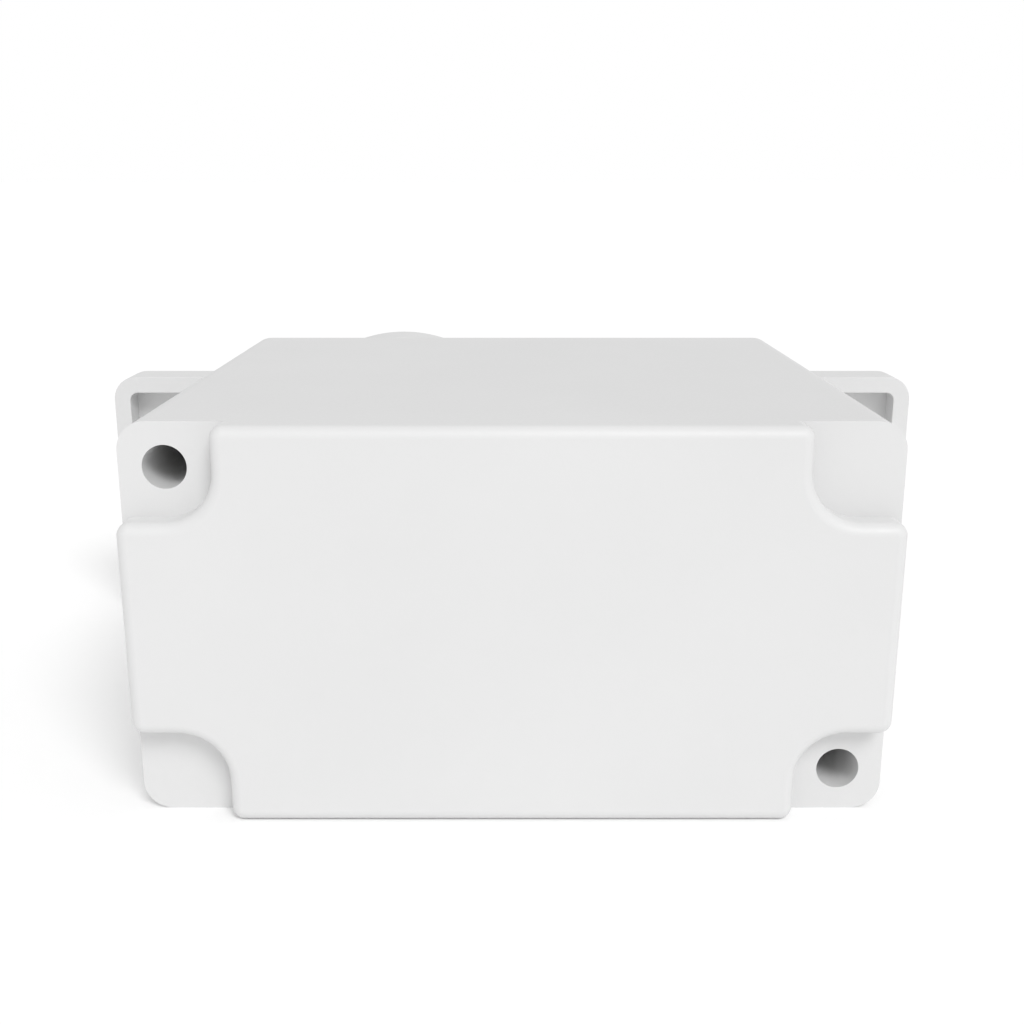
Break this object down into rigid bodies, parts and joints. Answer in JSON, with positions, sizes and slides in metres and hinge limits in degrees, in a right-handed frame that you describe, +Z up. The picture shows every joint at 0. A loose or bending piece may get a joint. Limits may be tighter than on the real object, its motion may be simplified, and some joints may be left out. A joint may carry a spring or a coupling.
{
  "type": "whole house surge protector",
  "caption": "Deep moulded box with a raised front panel, corner lands with screw bores, rear mounting ears and a conduit nipple with its locknut. It shunts mains surges.",
  "frame": {"origin": "middle of the underside of the whole part's box, on the surface it stands on", "axes": "+X across the ears to the right seen from the front, +Y from the front panel to the mounting side, +Z up"},
  "size_m": [0.114, 0.0916, 0.0409],
  "materials": {
    "moulded_grey": "fine moulded texture, pale grey",
    "seal_rubber": "soft black seal",
    "zinc_steel": "zinc plated",
    "board_laminate": "glass epoxy with solder mask",
    "varistor_epoxy": "dipped epoxy coat",
    "fuse_case": "moulded case",
    "gas_tube_ceramic": "glazed ceramic",
    "capacitor_case": "moulded case",
    "terminal_brass": "stamped"
  },
  "bodies": {
    "base": {"base": "moulded_grey", "base_gasket": "seal_rubber", "nipple": "moulded_grey", "circuit_board": "board_laminate", "board_screw_1": "zinc_steel", "board_screw_2": "zinc_steel", "board_screw_3": "zinc_steel", "board_screw_4": "zinc_steel", "varistor_line_1_neutral": "varistor_epoxy", "varistor_line_1_ground": "varistor_epoxy", "varistor_line_2_neutral": "varistor_epoxy", "varistor_line_2_ground": "varistor_epoxy", "thermal_fuse_line_1": "fuse_case", "thermal_fuse_line_2": "fuse_case", "gas_tube": "gas_tube_ceramic", "filter_capacitor_line_1": "capacitor_case", "filter_capacitor_line_2": "capacitor_case", "lead_terminal_line_1": "terminal_brass", "lead_terminal_line_2": "terminal_brass", "lead_terminal_neutral": "terminal_brass", "lead_terminal_ground": "terminal_brass"},
    "housing": {"housing": "moulded_grey"},
    "sealing_ring": {"sealing_ring": "seal_rubber"},
    "locknut": {"locknut": "moulded_grey"},
    "washer_upper": {"closing_washer_upper": "zinc_steel"},
    "screw_upper": {"closing_screw_upper": "zinc_steel"},
    "washer_lower": {"closing_washer_lower": "zinc_steel"},
    "screw_lower": {"closing_screw_lower": "zinc_steel"}
  },
  "joints": [
    {"name": "housing_pull", "type": "slide", "parent": "base", "child": "housing", "axis": [0, -1, 0], "range_m": [0, 0.06]},
    {"name": "ring_slide", "type": "slide", "parent": "base", "child": "sealing_ring", "axis": [0, 1, 0], "range_m": [0, 0.00999]},
    {"name": "locknut_turn", "type": "hinge", "parent": "sealing_ring", "child": "locknut", "pos_m": [-0.0168, 0.0304, 0.02045], "axis": [0, 1, 0], "range_deg": [0, 1980]},
    {"name": "washer_upper_slide", "type": "slide", "parent": "base", "child": "washer_upper", "axis": [0, 1, 0], "range_m": [0, 0.0127]},
    {"name": "screw_upper_turn", "type": "hinge", "parent": "washer_upper", "child": "screw_upper", "pos_m": [0.0301, 0.0195, 0.0329], "axis": [0, 1, 0], "range_deg": [0, 3601]},
    {"name": "washer_lower_slide", "type": "slide", "parent": "base", "child": "washer_lower", "axis": [0, 1, 0], "range_m": [0, 0.0127]},
    {"name": "screw_lower_turn", "type": "hinge", "parent": "washer_lower", "child": "screw_lower", "pos_m": [0.0085, 0.0195, 0.008], "axis": [0, 1, 0], "range_deg": [0, 3601]}
  ],
  "couplings": [
    {"joint": "ring_slide", "follows": "locknut_turn", "m_per_rad": 0.00028875},
    {"joint": "screw_upper_turn", "follows": "washer_upper_slide", "rad_per_m": 4947.4},
    {"joint": "screw_lower_turn", "follows": "washer_lower_slide", "rad_per_m": 4947.4}
  ]
}
